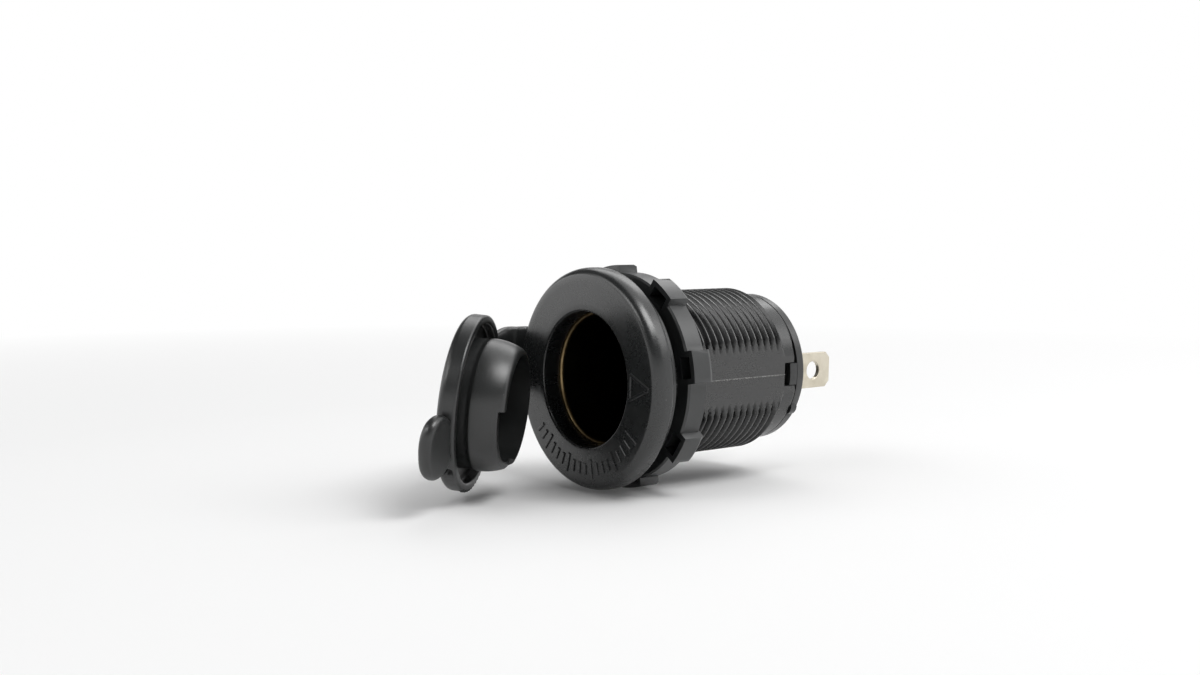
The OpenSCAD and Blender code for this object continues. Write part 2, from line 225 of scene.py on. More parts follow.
world = bpy.data.worlds.new("white_room")
scene.world = world
world.use_nodes = True
tree = world.node_tree
background = tree.nodes["Background"]
background.inputs["Color"].default_value = (0.12, 0.12, 0.12, 1)
background.inputs["Strength"].default_value = 1.0


def soft_lamp(name, azimuth, elevation, width, height, watts, distance=0.8):
    """A rectangular lamp in a direction seen from the socket, in degrees, which looks at its middle."""
    lamp = bpy.data.lights.new(name, "AREA")
    lamp.shape = "RECTANGLE"
    lamp.size = width
    lamp.size_y = height
    lamp.energy = watts
    holder = bpy.data.objects.new(name, lamp)
    scene.collection.objects.link(holder)
    turn, lift = math.radians(azimuth), math.radians(elevation)
    at = distance * Vector((math.cos(lift) * math.cos(turn), math.cos(lift) * math.sin(turn), math.sin(lift)))
    holder.matrix_world = looking(at, -at)


soft_lamp("key_right", 18, 57, 0.40, 0.36, 3.2)
soft_lamp("key_behind", 132, 43, 0.55, 0.36, 1.3)
soft_lamp("panel_above", 75, 58, 1.0, 0.9, 2.9)
soft_lamp("window_right", 46, 34, 0.45, 0.36, 0.9)
soft_lamp("window_front", 270, 41, 0.34, 0.24, 0.9)
soft_lamp("fill_front", 238, 33, 0.50, 0.40, 1.1)
soft_lamp("panel_left", 210, 8, 0.36, 0.36, 0.4)

# Housing: flange, threaded barrel and plain tail
# One injection moulding of black glass-filled nylon. Two flats let it sit in a shaped
# panel hole, and the mould's halves meet along them, so each flat has a fine ridge.
face_y = -5.6
flange_r, flange_round, flange_roll, back_round, flange_back_y = 18.5, 1.3, 2.3, 0.8, -1.6
mouth_r, mouth_round, seat_depth = 11.25, 0.4, 3.4
crest_r, root_r, pitch = 14.29, 13.45, 1.5
flat_half, flat_phi = 12.75, 91.7
runout_y, thread_end, tail_r, rim_front_y, pocket_r = 27.2, 28.7, 13.1, 31.6, 11.5
notch_half, notch_len = 2.0, 2.8


def arc_points(cx, cy, r, a, b, steps):
    """Points of the arc of radius r about (cx, cy), from angle a to angle b in degrees."""
    t = np.radians(np.linspace(a, b, steps + 1))
    return np.stack([cx + r * np.cos(t), cy + r * np.sin(t)], 1)


def line_points(x0, y0, x1, y1, steps):
    """Points of the straight line between two corners, without its ends."""
    t = (np.arange(steps) + 1) / (steps + 1)
    return np.stack([x0 + (x1 - x0) * t, y0 + (y1 - y0) * t], 1)


def around(radius, along, phi):
    """Points at a radius from the axis, a place along it, and an angle from up towards +X."""
    radius, along, phi = np.broadcast_arrays(radius, along, np.radians(phi))
    return np.stack([radius * np.sin(phi), along, radius * np.cos(phi)], -1)


def grid_piece(name, points, loop_rows=False, loop_columns=True, poles=(None, None), smooth=35):
    """A mesh from a grid of points in millimetres: rows and columns are joined as quads, each pole
    closes the first or last row to one point, and faces are turned outwards by the signed volume."""
    rows, columns = points.shape[:2]
    i = np.arange(rows if loop_rows else rows - 1)
    j = np.arange(columns if loop_columns else columns - 1)
    i, j = (x.ravel() for x in np.meshgrid(i, j, indexing="ij"))
    i1, j1 = (i + 1) % rows, (j + 1) % columns
    quads = np.stack([i * columns + j, i * columns + j1, i1 * columns + j1, i1 * columns + j], 1)
    verts = points.reshape(-1, 3)
    fans = []
    for pole, row in zip(poles, (0, rows - 1)):
        if pole is None:
            continue
        k = np.arange(columns)
        k1 = (k + 1) % columns
        tip = np.full(columns, len(verts))
        sides = [row * columns + k1, row * columns + k]
        fans.append(np.stack([tip] + (sides if row == 0 else sides[::-1]), 1))
        verts = np.vstack([verts, np.array(pole, float)[None]])
    triangles = np.vstack(fans) if fans else np.zeros((0, 3), int)
    split = np.vstack([quads[:, [0, 1, 2]], quads[:, [0, 2, 3]], triangles])
    corner = verts[split]
    volume = np.einsum("ij,ij->i", corner[:, 0], np.cross(corner[:, 1], corner[:, 2])).sum()
    if volume < 0:
        quads, triangles = quads[:, ::-1], triangles[:, ::-1]
    mesh = bpy.data.meshes.new(name)
    mesh.from_pydata((verts * mm).tolist(), [], quads.tolist() + triangles.tolist())
    return finished(name, mesh, smooth)


def finished(name, mesh, smooth=35):
    """An object for the mesh, smooth except at edges sharper than the angle."""
    mesh.polygons.foreach_set("use_smooth", np.ones(len(mesh.polygons), bool))
    mesh.set_sharp_from_angle(angle=math.radians(smooth))
    mesh.update()
    piece = bpy.data.objects.new(name, mesh)
    scene.collection.objects.link(piece)
    return piece


def dress(piece, material):
    """Gives the piece its finish."""
    piece.data.materials.clear()
    piece.data.materials.append(material)
    return piece


def turn_between(phi, centre):
    """The signed angle from centre to phi, from -180 to 180 degrees."""
    return (phi - centre + 180) % 360 - 180


even = np.linspace(0, 360, 264, endpoint=False)
flat_edge = math.degrees(math.acos(flat_half / crest_r))
tail_edge = math.degrees(math.acos(flat_half / tail_r))
notch_edge = math.degrees(math.asin(notch_half / flat_half))
extra = np.array([-flat_edge, flat_edge, -tail_edge, tail_edge, -notch_edge, notch_edge,
                  -notch_edge - 0.12, notch_edge + 0.12, -1.1, -0.55, -0.3, 0, 0.3, 0.55, 1.1])
phi = np.unique(np.round(np.concatenate([even, (flat_phi + extra) % 360, (flat_phi + 180 + extra) % 360]), 4))
near, far = turn_between(phi, flat_phi), turn_between(phi, flat_phi + 180)
off_flat = np.minimum(np.abs(near), np.abs(far))
# The flat's own radius is its distance over the cosine, and the ridge is a narrow bump on it
flat_radius = flat_half / np.cos(np.radians(np.minimum(off_flat, 75)))
ridge_h, ridge_turn = 0.15, 0.42
ridge = ridge_h * np.exp(-(off_flat / ridge_turn) ** 2)
in_notch = off_flat <= notch_edge + 0.01

# The rows keep to the corners of the thread's profile and slide along with its helix. They slide
# back across the flats, where the surface is plain.
profile_corners = np.array([-0.75, -0.66, -0.60, -0.37, -0.14, -0.05, 0.05, 0.14, 0.37, 0.60, 0.66])
groove_y, groove_phi, slide_back = 11.8, 72.5, 17
root_fillet = 0.3
barrel_start = flange_back_y + root_fillet
row_y = (groove_y + pitch * np.arange(-9, 12)[:, None] + profile_corners).ravel()
row_y = row_y[(row_y > barrel_start + 0.05) & (row_y < thread_end - 0.05)]
row_y = np.concatenate([[barrel_start], row_y, [thread_end]])[:, None]
from_flat = np.where(np.abs(near) < np.abs(far), near, far)
lead = flat_phi - groove_phi
slide = pitch / 360 * np.interp(from_flat, [-90, -slide_back, slide_back, 90],
                                [lead - 90, lead - slide_back, lead + slide_back - 180, lead - 90])
ends = np.clip((row_y - barrel_start) / 1.5, 0, 1) * np.clip((thread_end - row_y) / 1.7, 0, 1)
barrel_y = row_y + slide * ends
# The far half of the thread is half a pitch on from the near half
groove_shift = groove_y + pitch / 2 * (turn_between(phi, flat_phi) >= 0) + pitch * (phi - groove_phi) / 360
step = ((barrel_y - groove_shift) / pitch + 0.5) % 1 - 0.5
# A sixty degree thread: the radius rises from the root by the flank's slope and stops at the crest
groove_half, flank_angle = 0.13, 31
flank = (np.abs(step) * pitch - groove_half) / math.tan(math.radians(flank_angle))
thread = np.minimum(root_r + np.maximum(flank, 0), crest_r)
taper = crest_r - (crest_r - tail_r) * np.clip((barrel_y - runout_y) / (thread_end - runout_y), 0, 1)
start = np.clip((barrel_y - barrel_start) / 0.8, 0, 1)
thread = crest_r + (thread - crest_r) * start
thread = np.minimum(thread, taper)
thread = np.minimum(thread, flat_radius[None, :] + ridge[None, :])

front = np.vstack([
    line_points(mouth_r, face_y + seat_depth, mouth_r, face_y + mouth_round, 3),
    arc_points(mouth_r + mouth_round, face_y + mouth_round, mouth_round, 180, 270, 6),
    line_points(mouth_r + mouth_round, face_y, flange_r - flange_round, face_y, 5),
    # The edge rolls over slowly: an ellipse, longer along the axis than across it
    arc_points(0, 0, 1, -90, 0, 12) * [flange_round, flange_roll]
    + [flange_r - flange_round, face_y + flange_roll],
    arc_points(flange_r - back_round, flange_back_y - back_round, back_round, 0, 90, 6),
])
fillet = arc_points(crest_r + root_fillet, barrel_start, root_fillet, 270, 180, 3)[:-1]
front = np.vstack([front, fillet])
front_r = np.repeat(front[:, :1], len(phi), 1)
front_along = np.repeat(front[:, 1:], len(phi), 1)
# The joint with the end cap stands open a little beside the near key, and is fine elsewhere
gap_fine, gap_open, gap_phi, gap_half, gap_fade = 0.06, 0.42, 77, 5, 8
beyond = np.maximum(np.abs(turn_between(phi, gap_phi)) - gap_half, 0)
joint_gap = gap_fine + gap_open * np.exp(-(beyond / gap_fade) ** 2)
end_y = np.where(in_notch, rim_front_y - notch_len, rim_front_y - joint_gap)
tail_share = np.array([0.12, 0.3, 0.5, 0.7, 0.86, 0.97])[:, None]
tail_along = thread_end + (end_y[None, :] - thread_end) * tail_share
tail_radius = np.minimum(tail_r, flat_radius + ridge)[None, :].repeat(len(tail_share), 0)
rear_along = np.stack([end_y - 0.04, end_y, end_y, end_y - 0.1, end_y * 0 + 20, end_y * 0 + 8])
rear_radius = np.stack([tail_radius[0] - 0.02, tail_radius[0] - 0.14, end_y * 0 + pocket_r + 0.1,
                        end_y * 0 + pocket_r, end_y * 0 + pocket_r, end_y * 0 + pocket_r])
inside_along = np.full((2, len(phi)), face_y + seat_depth)
inside_radius = np.stack([end_y * 0 + pocket_r, end_y * 0 + mouth_r + 0.001])
radius = np.vstack([front_r, thread, tail_radius, rear_radius, inside_radius])
along = np.vstack([front_along, barrel_y, tail_along, rear_along, inside_along])
housing = grid_piece("housing_moulding", around(radius, along, phi[None, :]), loop_rows=True, smooth=28)
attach(housing, "socket")
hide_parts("housing")


def moulded_plastic(name, colour, gloss, grain, dust):
    """Black moulded plastic: a fine tool grain, faint cloudy wear in its gloss, and specks of dust."""
    material, tree, shader, place = new_material(name)
    cloud = place.noise(180, 4)
    fine = place.noise(5200, 2)
    scuff = place.stretched((900, 160, 900)).noise(1.0, 5, 0.7)
    patch = place.noise(420, 2).ramp((0.60, 0.0), (0.72, 1.0))
    specks = place.cells(620).ramp((0.0, 1.0), (0.045, 1.0), (0.075, 0.0)) * patch * dust
    base = specks.mix(cloud.ramp((0.3, 0.85), (0.7, 1.2)).tint(colour), (0.32, 0.32, 0.31))
    rough = cloud * 0.10 + scuff * 0.12 + (gloss - 0.11)
    height = fine * grain + scuff * (grain * 0.35)
    plug_in(tree, shader, Base_Color=base, Roughness=rough, Normal=height.bump(0.5, 0.06 * mm), IOR=1.5,
            Specular_IOR_Level=0.75)
    return material


black_plastic = moulded_plastic("black_plastic", (0.0125, 0.0135, 0.0138), 0.28, 0.12, 0.6)
tree, shader, place, base = reopened(black_plastic)
across, back, up = (place.part(k) for k in range(3))
# The flats lean by the angle that flat_phi passes a right angle
flat_lean = math.tan(math.radians(flat_phi - 90))
behind_flange = back.math("GREATER_THAN", -1.5 * mm)
off_ridge = (up + across * flat_lean).math("ABSOLUTE")
off_flat = (across - up * flat_lean).math("ABSOLUTE").math("LESS_THAN", (flat_half - 0.05) * mm)
on_flat = across.math("ABSOLUTE").math("GREATER_THAN", (flat_half - 0.15) * mm) * behind_flange
# The thread's crests are paler, partly rub wear from the nut and partly a painted highlight. Its grooves are
# darkened with painted shade, and the flats are paler in patches
threaded = off_flat * back.math("GREATER_THAN", -1.2 * mm) * back.math("LESS_THAN", (runout_y - 0.1) * mm)
from_axis = (across * across + up * up).math("SQRT")
crest = from_axis.between(14.1 * mm, 14.27 * mm)
# depth: painted shade, darkest at the groove's root
depth = from_axis.between(13.5 * mm, 14.2 * mm, 1.0, 0.0)
flat_face = (1 - off_flat) * on_flat * place.noise(3000, 3, 0.6).ramp((0.35, 0.35), (0.65, 1.0))
# Painted shade in the grooves, wear and painted highlight on the crests, and paler patches on the flats
for mask, tone in ((depth * threaded, 0.0015), (crest * threaded * 0.85, 0.07), (flat_face, 0.034)):
    base = mask.mix(base, (tone,) * 3)
# The torn flash along the ridge of each flat is paler, in broken specks
torn = place.noise(2600, 3, 0.7).ramp((0.42, 0.1), (0.62, 0.9))
torn = torn * off_ridge.between(0.05 * mm, 0.17 * mm, 1.0, 0.0, "SMOOTHSTEP") * on_flat
plug_in(tree, shader, Base_Color=torn.mix(base, (0.26, 0.26, 0.25)))
dress(housing, black_plastic)

# Raised marks on the flange
# The mould leaves a band of plain raised ticks and one open pointer on the flange's face.
# They are part of the same moulding and stand a few tenths of a millimetre proud.


def raised_bars(name, bars, height):
    """Bars on the face, each between two polar points (radius, angle) with a half width: a box with
    its upper edges drawn in, eight corners each, all in one mesh."""
    verts, faces = [], []
    for r0, a0, r1, a1, half in bars:
        p0, p1 = around([r0, r1], [face_y, face_y], [a0, a1])
        run = (p1 - p0) / np.linalg.norm(p1 - p0)
        cross = np.cross(run, [0, 1, 0]) * half
        for depth, shrink in ((0.05, 1.0), (-height * 0.6, 0.86), (-height, 0.55)):
            inset = run * half * (1 - shrink)
            for base, sign in ((p0 + inset, 1), (p0 + inset, -1), (p1 - inset, -1), (p1 - inset, 1)):
                verts.append(base + cross * sign * shrink + [0, depth, 0])
        n = len(verts) - 12
        faces += [[n + 3, n + 2, n + 1, n], [n + 8, n + 9, n + 10, n + 11]]
        for level in (0, 4):
            faces += [[n + level + k, n + level + (k + 1) % 4, n + level + 4 + (k + 1) % 4, n + level + 4 + k]
                      for k in range(4)]
    mesh = bpy.data.meshes.new(name)
    mesh.from_pydata((np.array(verts) * mm).tolist(), [], faces)
    tidy = bmesh.new()
    tidy.from_mesh(mesh)
    bmesh.ops.recalc_face_normals(tidy, faces=tidy.faces)
    tidy.to_mesh(mesh)
    tidy.free()
    return finished(name, mesh, 30)


bar_half, bar_height = 0.3, 0.22
ticks = [(13.2 if k % 4 == 0 else 13.8, angle, 16.5 if k % 4 == 0 else 15.9, angle, bar_half)
         for k, angle in enumerate(np.arange(124, 238, 6.0))]
pointer_corners = (16.7, 91), (12.3, 81.5), (12.3, 100.5)
pointer = [(*a, *b, bar_half) for a, b in zip(pointer_corners, pointer_corners[1:] + pointer_corners[:1])]
marks = raised_bars("flange_marks", ticks + pointer, bar_height)
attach(marks, "socket")
dress(marks, black_plastic)

# Ring nut
# A second black nylon moulding that screws along the barrel and clamps the panel. Its lugs
# are cored out from the front so that they cool without sinking.


def from_node(name, node, edge, segments=2, smooth=32):
    """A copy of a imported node's mesh with its loose triangles joined, flat faces made whole, and a
    small radius along its sharp edges."""
    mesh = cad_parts[node].data.copy()
    tidy = bmesh.new()
    tidy.from_mesh(mesh)
    bmesh.ops.remove_doubles(tidy, verts=tidy.verts, dist=2e-6)
    bmesh.ops.dissolve_limit(tidy, angle_limit=math.radians(0.6), verts=tidy.verts, edges=tidy.edges)
    tidy.to_mesh(mesh)
    tidy.free()
    piece = finished(name, mesh, smooth)
    bevel = piece.modifiers.new("edge", "BEVEL")
    bevel.width = edge * mm
    bevel.segments = segments
    bevel.limit_method = "ANGLE"
    bevel.angle_limit = math.radians(30)
    bevel.harden_normals = True
    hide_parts(node)
    return piece


nut = from_node("ring_nut_moulding", "ring_nut", 0.14)
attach(nut, "nut")
nut_plastic = moulded_plastic("nut_plastic", (0.021, 0.0225, 0.023), 0.33, 0.15, 0.4)
dress(nut, nut_plastic)

# Metal shell
# A deep-drawn brass cup, pushed in from behind. It carries the plug's side contacts. Inside it is
# painted dark as shade, and its cut front edge stays bright behind the plastic mouth.


def turned_piece(name, profile, columns=160, smooth=30, body="socket"):
    """A closed profile of (radius, place along the axis) points turned about the axis."""
    profile = np.array(profile, float)
    turn = np.linspace(0, 360, columns, endpoint=False)
    points = around(profile[:, :1], profile[:, 1:], turn[None, :])
    piece = grid_piece(name, points, loop_rows=True, smooth=smooth)
    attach(piece, body)
    return piece


shell_r, shell_t, shell_front_y = 10.65, 0.8, -2.15
floor_front_y, floor_back_y, step_y, shell_step = 25.65, 26.45, 22.0, 0.35
sleeve_r = 2.96
shell = turned_piece("brass_shell", np.vstack([
    [[shell_r + 0.25, shell_front_y], [shell_r + shell_t, shell_front_y], [shell_r + shell_t, step_y],
     [shell_r + shell_t - shell_step, step_y + shell_step]],
    arc_points(shell_r - shell_step + shell_t - 1.2, floor_back_y - 1.2, 1.2, 0, 90, 6),
    [[sleeve_r, floor_back_y], [sleeve_r, floor_front_y]],
    arc_points(shell_r - shell_step - 0.4, floor_front_y - 0.4, 0.4, 90, 0, 4),
    [[shell_r - shell_step, step_y + shell_step], [shell_r, step_y], [shell_r, shell_front_y + 0.35],
     [shell_r + 0.08, shell_front_y + 0.15]],
]))
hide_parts("shell")


def metal(name, colour, rough, tarnish, brushed=(300, 300, 300)):
    """Bare or plated metal: fine drawing lines, and a darker, rougher film in patches."""
    material, tree, shader, place = new_material(name)
    lines = place.stretched(brushed).noise(8.0, 4, 0.6)
    film = place.noise(260, 4).ramp((0.42, 0.0), (0.68, 1.0))
    roughness = lines * 0.16 + film * 0.10 + (rough - 0.10)
    plug_in(tree, shader, Base_Color=(film * 0.7).mix(colour, tarnish), Roughness=roughness, Metallic=1.0,
            Normal=lines.bump(0.35, 0.02 * mm))
    return material


brass = metal("drawn_brass", (0.32, 0.235, 0.12), 0.34, (0.10, 0.06, 0.03), (2600, 60, 2600))
# The bore is painted dark from a little behind the front edge: painted shade inside the cup
tree, shader, place, base = reopened(brass)
bore_painted_shade = place.part(1).between(-2.05 * mm, -1.3 * mm, interpolation="SMOOTHSTEP")
plug_in(tree, shader, Base_Color=bore_painted_shade.mix(base, (0.02, 0.017, 0.012)))
dress(shell, brass)

# Front insulator
# A brown laminated fibre washer with a short sleeve through the shell's floor. It keeps the
# centre contact off the shell.
rivet_r, contact_front_y, insulator_r = 1.5, 23.85, 5.6
front_insulator = turned_piece("fibre_front_washer", [
    [rivet_r + 0.05, contact_front_y + 0.8], [insulator_r - 0.1, contact_front_y + 0.8],
    [insulator_r, contact_front_y + 0.9], [insulator_r, floor_front_y], [2.91, floor_front_y],
    [2.91, floor_back_y], [rivet_r + 0.05, floor_back_y]], 96)
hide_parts("front_insulator")
fibre, tree, shader, place = new_material("brown_fibre")
layers = place.stretched((500, 9000, 500)).noise(1.0, 3)
base = layers.ramp((0.35, 0.0), (0.65, 1.0)).mix((0.11, 0.045, 0.02), (0.19, 0.09, 0.045))
plug_in(tree, shader, Base_Color=base, Roughness=layers * 0.2 + 0.5, Normal=layers.bump(0.4, 0.03 * mm))
dress(front_insulator, fibre)

# Centre contact
# A stamped and dished disc of tinned spring brass that the plug's tip presses on.
contact_r, dish = 4.6, 0.48
contact = turned_piece("contact_disc", [
    [rivet_r + 0.05, contact_front_y], [3.51, contact_front_y], [3.99, contact_front_y - dish],
    [contact_r - 0.3, contact_front_y - dish], [contact_r - 0.08, contact_front_y - dish + 0.1],
    [contact_r, contact_front_y - dish + 0.4], [contact_r, contact_front_y + 0.8],
    [rivet_r + 0.05, contact_front_y + 0.8]], 96)
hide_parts("centre_contact")
tinned = metal("tinned_brass", (0.70, 0.65, 0.54), 0.32, (0.50, 0.45, 0.35), (700, 90, 700))
dress(contact, tinned)

# Contact rivet
# A plated rivet with a low domed head. It is clinched behind the lock washer and holds the
# whole stack together.
head_r, head_t = 3.21, 1.5
clinch_y, clinch_end_y = 28.85, 29.66
dome_r = (head_r ** 2 + head_t ** 2) / (2 * head_t)
dome_half = math.degrees(math.asin(head_r / dome_r))
dome = np.radians(np.linspace(3, dome_half, 9))
profile = np.vstack([
    np.stack([dome_r * np.sin(dome), contact_front_y - head_t + dome_r - dome_r * np.cos(dome)], 1),
    [[rivet_r, contact_front_y], [rivet_r, clinch_y], [2.4, clinch_y], [2.1, clinch_end_y]]])
turn = np.linspace(0, 360, 72, endpoint=False)
rivet = grid_piece("stack_rivet", around(profile[:, :1], profile[:, 1:], turn[None, :]),
                   poles=((0, contact_front_y - head_t, 0), (0, clinch_end_y, 0)))
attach(rivet, "socket")
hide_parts("contact_rivet")
plated = metal("plated_steel", (0.62, 0.58, 0.50), 0.32, (0.33, 0.28, 0.2))
dress(rivet, plated)

# Rear insulator, lock washer and ground rivet
# Small stacked parts under the end cap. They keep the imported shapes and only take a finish.
spring = metal("spring_steel", (0.4, 0.4, 0.4), 0.4, (0.2, 0.19, 0.18))
for node, finish in (("rear_insulator", fibre), ("lock_washer", spring), ("ground_rivet", plated)):
    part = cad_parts[node]
    part.data.materials.clear()
    part.data.materials.append(finish)

# Spade terminals
# Blanked from tinned brass strip, bent once and riveted by the foot. The tips are cropped
# at the corners to lead into a push-on connector, and the sheared edges are broken.
for name, node in (("positive_spade", "positive_terminal"), ("ground_spade", "ground_terminal")):
    spade = from_node(name, node, 0.09)
    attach(spade, "socket")
    dress(spade, tinned)

# End cap
# A black nylon lid that closes the tail. Its spigot holds the shell forward, and two keys
# in the tail's notches keep it from turning.
end_cap = from_node("end_cap_moulding", "end_cap", 0.12)
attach(end_cap, "socket")
cap_plastic = moulded_plastic("end_cap_plastic", (0.0135, 0.0145, 0.0148), 0.31, 0.15, 0.3)
dress(end_cap, cap_plastic)

# Cap ring
# A flat rubber ring, clamped behind the flange. It holds the cap's strap and also seals the
# panel.
ring_in_r, ring_out_r, ring_round = 14.39, 17.0, 0.25
cap_ring = turned_piece("cap_ring_rubber", np.vstack([
    arc_points(ring_out_r - ring_round, flange_back_y + ring_round, ring_round, -90, 0, 3),
    arc_points(ring_out_r - ring_round, -ring_round, ring_round, 0, 90, 3),
    [[ring_in_r, 0], [ring_in_r, flange_back_y]]]))
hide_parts("cap_ring")


def moulded_rubber(name, colour, gloss):
    """Black moulded rubber: soft satin with smooth cloudy changes of gloss, and a little dust."""
    material, tree, shader, place = new_material(name)
    cloud = place.noise(140, 3)
    fine = place.noise(3800, 3)
    rub = place.noise(700, 4, 0.65)
    patch = place.noise(350, 2).ramp((0.58, 0.0), (0.70, 1.0))
    specks = place.cells(540).ramp((0.0, 1.0), (0.045, 1.0), (0.07, 0.0)) * patch * 0.35
    base = specks.mix(cloud.ramp((0.3, 0.8), (0.7, 1.2)).tint(colour), (0.3, 0.3, 0.29))
    rough = cloud * 0.16 + rub * 0.10 + (gloss - 0.13)
    height = fine * 0.5 + rub * 0.5
    plug_in(tree, shader, Base_Color=base, Roughness=rough, Normal=height.bump(0.4, 0.05 * mm), IOR=1.5,
            Specular_IOR_Level=0.75)
    return material


rubber = moulded_rubber("black_rubber", (0.0135, 0.0145, 0.0145), 0.33)
dress(cap_ring, rubber)

# Dust cap: lid and hollow plug
# One compression moulding of black rubber. The plug seals in the mouth, its nose is drawn
# in to lead the way, and the rim has a short run of fine grip teeth at its lower edge.
strap_turn, hinge_lean, cap_open = 2.59, 12.0, 49.11
hinge_off, hinge_y = 21.37, -8.05
lid_r, lid_t, skirt_w, groove_depth = 14.3, 3.2, 1.4, 1.7
plug_r, plug_len, plug_wall = 10.65, 6.45, 1.7
nose_r = 10.5
lid_under_y = face_y - 0.15


def opened(points, angle=cap_open):
    """Points of the closed cap turned about the strap's leaning hinge line."""
    hinge = Matrix.Translation((-hinge_off, hinge_y, 0)) @ Matrix.Rotation(math.radians(hinge_lean), 4, "X")
    swing = hinge @ Matrix.Rotation(math.radians(-angle), 4, "Z") @ hinge.inverted()
    return moved(points, Matrix.Rotation(math.radians(strap_turn), 4, "Y") @ swing)


def moved(points, matrix):
    """Points turned and shifted by a matrix."""
    matrix = np.array(matrix)
    return points @ matrix[:3, :3].T + matrix[:3, 3]


edge = lid_t * 0.34
# The plug draws in towards its nose along one curve, the drop growing faster than the length
draw = np.linspace(0, 1, 14)
lid_front_y = lid_under_y - lid_t
tip_y = lid_under_y + plug_len
tip_round = plug_len * 0.19
hollow_r, hollow_y = plug_r - plug_wall, lid_under_y - groove_depth
groove_r = lid_r - skirt_w
# The skirt stops a tenth of a millimetre short, so that it clears the raised marks when it is shut
skirt_y = lid_under_y - 0.1
skirt_round, plug_draw, seal_y = 0.34, 0.95, lid_under_y + 1.2
teeth_from, teeth_to, tooth_turn, tooth_out, tooth_depth = 147, 212, 5.0, 0.14, 0.52
fine_turn = np.arange(teeth_from, teeth_to, tooth_turn / 10)
turn = np.unique(np.round(np.concatenate([np.linspace(0, 360, 480, endpoint=False), fine_turn]), 3))
lid = np.vstack([
    [[1.5, lid_front_y - 0.25], [5, lid_front_y - 0.22], [lid_r * 0.62, lid_front_y - 0.12],
     [lid_r * 0.78, lid_front_y - 0.02]],
    arc_points(lid_r - edge, lid_front_y + edge, edge, -90, 0, 8),
    line_points(lid_r, lid_front_y + edge, lid_r, skirt_y - 0.4, 15),
    [[lid_r, skirt_y - 0.4]],
    arc_points(lid_r - skirt_round, skirt_y - skirt_round, skirt_round, 0, 90, 4),
    arc_points(groove_r + skirt_round, skirt_y - skirt_round, skirt_round, 90, 180, 4),
    [[groove_r, hollow_y + 0.3]],
    arc_points(groove_r - 0.3, hollow_y + 0.3, 0.3, 0, -90, 3)[1:],
    arc_points(plug_r + 0.1, hollow_y + 0.2, 0.2, 270, 180, 3),
    [[plug_r - 0.1, seal_y - 0.9], [plug_r - 0.1, seal_y - 0.45], [plug_r + 0.04, seal_y - 0.25]],
    np.stack([plug_r + 0.07 - plug_draw * draw ** 2.2, seal_y + 4.45 * draw], 1),
    arc_points(nose_r - tip_round * 1.55, tip_y - tip_round, tip_round, 32, 86, 6),
    [[hollow_r - 0.1, tip_y - 0.03], [hollow_r - 0.2, tip_y - 0.15], [hollow_r - 0.15, tip_y - 1.2],
     [hollow_r - 0.08, lid_under_y + 2], [hollow_r, lid_under_y]],
    arc_points(hollow_r - 0.5, hollow_y + 0.5, 0.5, 0, -90, 3),
    [[5, hollow_y], [1.5, hollow_y]],
])
radius = np.repeat(lid[:, :1], len(turn), 1)
along = np.repeat(lid[:, 1:], len(turn), 1)
# Grip teeth: a triangle wave round the rim's rear edge, faded out at its ends
teeth_mid, teeth_half = (teeth_from + teeth_to) / 2, (teeth_to - teeth_from) / 2
teeth_at = np.clip((teeth_half - np.abs(turn_between(turn, teeth_mid))) / 5, 0, 1)
wave = np.abs(((turn - teeth_from) / tooth_turn) % 1 - 0.5) * 2
rim_band = (np.abs(lid[:, 0] - lid_r) < 0.25) & (lid[:, 1] > lid_under_y - 0.9) & (lid[:, 1] <= lid_under_y)
radius[rim_band] += (teeth_at * (tooth_out - tooth_depth * wave))[None, :]
# Relief notch: a little over a quarter of the nose is cut flat, a millimetre short
notch_from, notch_to, notch_depth = 76, 180, plug_len * 0.155
notch_y = np.where((turn > notch_from) & (turn < notch_to), tip_y - notch_depth, tip_y)
along = np.where(lid[:, :1] < plug_r, np.minimum(along, notch_y[None, :]), along)
# Gate mark: a dent with a flat floor in the rim's side, cut by a fourth power of the distance
dent_phi, dent_y, dent_long, dent_wide, dent_depth = 122.5, lid_under_y - 1.35, 0.8, 0.6, 1.3
dent = np.exp(-((np.radians(turn_between(turn, dent_phi))[None, :] * lid_r / dent_long) ** 4
                + ((along - dent_y) / dent_wide) ** 4))
radius = radius - np.where((lid[:, :1] > lid_r - 0.4) & (along < lid_under_y - 0.2), dent_depth * dent, 0)
points = opened(around(radius, along, turn[None, :]))
ends = opened(np.array([[0, lid_front_y - 0.25, 0], [0, hollow_y, 0]]))
dust_cap = grid_piece("cap_lid_and_plug", points, poles=tuple(ends), smooth=40)
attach(dust_cap, "cap")
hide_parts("dust_cap")
dress(dust_cap, rubber)

# Pull tab
# A rounded finger tab of the same moulding on the lid's free side, bent a little forward.
tab_len, tab_w, tab_t, tab_bend, tab_down, tab_root = 6.1, 10.3, 2.24, 14, 4.5, 1.6
half_long, half_wide = (tab_len + tab_root) / 2, tab_w / 2


def superellipse(half_x, half_y, power, count):
    """Points round a superellipse: the unit circle's points pushed out until their powers add up to one."""
    s = np.linspace(0, 2 * np.pi, count, endpoint=False)
    power = np.where(np.cos(s) > 0, power[0], power[1])
    norm = (np.abs(np.cos(s)) ** power + np.abs(np.sin(s)) ** power) ** (-1 / power)
    return np.stack([half_x * np.cos(s) * norm, half_y * np.sin(s) * norm], 1)


